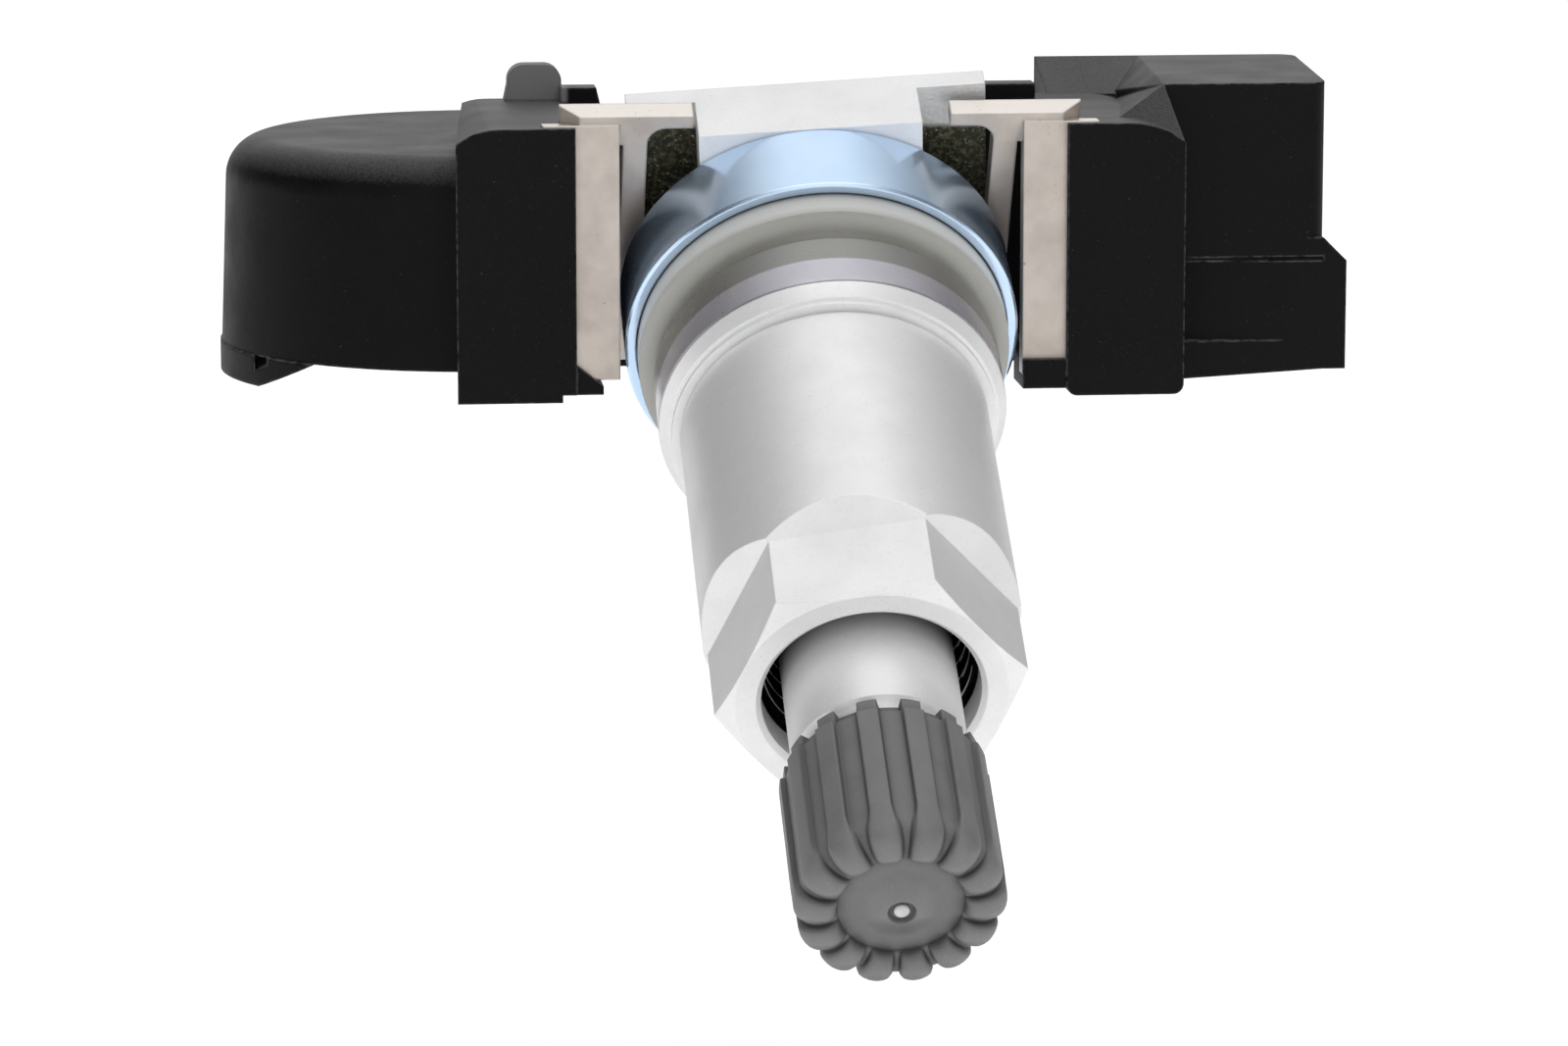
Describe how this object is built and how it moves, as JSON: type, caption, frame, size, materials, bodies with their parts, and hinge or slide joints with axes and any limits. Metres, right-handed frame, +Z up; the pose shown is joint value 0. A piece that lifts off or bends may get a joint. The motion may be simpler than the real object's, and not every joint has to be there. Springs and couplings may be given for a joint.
{
  "type": "tyre pressure sensor",
  "caption": "Tyre pressure sensor: plastic housing with a sensing circuit and cell, held by a bracket on a clamp-in metal valve with grommet, washer, nut and dust cap.",
  "frame": {"origin": "on the valve axis, in the plane where the rubber grommet seals on the wheel rim", "axes": "+X along the housing from the cell drum to the electronics box, +Y from the cap end towards the back of the housing, +Z up, square to the housing's feet"},
  "size_m": [0.0535, 0.0627, 0.0355],
  "materials": {
    "satin_alloy": "satin",
    "plated_washer": "polished",
    "blue_alloy": "anodised",
    "nickel_sheet": "nickel plated",
    "grommet_rubber": "matte",
    "seal_rubber": "matte",
    "cap_plastic": "moulded",
    "housing_plastic": "fine spark texture",
    "core_brass": "turned",
    "spring_steel": "drawn wire",
    "board_laminate": "lacquered",
    "chip_resin": "moulded",
    "can_steel": "drawn",
    "ferrite": "sintered",
    "copper_wire": "enamelled",
    "filter_membrane": "matte"
  },
  "bodies": {
    "valve": {"valve_stem": "satin_alloy", "core_body": "core_brass", "core_gasket": "seal_rubber", "core_spring": "spring_steel", "support_ring": "blue_alloy", "grommet": "grommet_rubber"},
    "sensor_module": {"housing": "housing_plastic", "base_cover": "housing_plastic", "bracket": "nickel_sheet", "port_filter": "filter_membrane", "circuit_board": "board_laminate", "sensor_chip": "chip_resin", "crystal": "can_steel", "coil_core": "ferrite", "coil_winding": "copper_wire", "battery_cell": "can_steel", "cell_tab_lower": "can_steel", "cell_tab_upper": "can_steel"},
    "washer": {"nut_washer": "plated_washer"},
    "nut": {"nut": "satin_alloy"},
    "cap_seal": {"cap_seal": "seal_rubber"},
    "cap": {"cap": "cap_plastic"},
    "core_pin": {"core_pin": "core_brass", "core_cup": "seal_rubber"}
  },
  "joints": [
    {"name": "module_tilt", "type": "hinge", "parent": "valve", "child": "sensor_module", "pos_m": [0, 0.00622, 0.00637], "axis": [1, 0, 0], "range_deg": [-3, 3]},
    {"name": "washer_slide", "type": "slide", "parent": "valve", "child": "washer", "axis": [0, -0.8599, -0.5105], "range_m": [0, 0.01005]},
    {"name": "nut_turn", "type": "hinge", "parent": "washer", "child": "nut", "pos_m": [0, 0, 0], "axis": [0, -0.8599, -0.5105], "range_deg": [0, 3600]},
    {"name": "cap_slide", "type": "slide", "parent": "valve", "child": "cap_seal", "axis": [0, -0.8599, -0.5105], "range_m": [0, 0.00715]},
    {"name": "cap_turn", "type": "hinge", "parent": "cap_seal", "child": "cap", "pos_m": [0, 0, 0], "axis": [0, -0.8599, -0.5105], "range_deg": [0, 3240]},
    {"name": "core_pin_push", "type": "slide", "parent": "valve", "child": "core_pin", "axis": [0, 0.8599, 0.5105], "range_m": [0, 0.0012], "stiffness_N_per_m": 800, "deforming": ["core_spring"]}
  ],
  "couplings": [
    {"joint": "washer_slide", "follows": "nut_turn", "m_per_rad": 0.00015915},
    {"joint": "cap_slide", "follows": "cap_turn", "m_per_rad": 0.00012633}
  ]
}
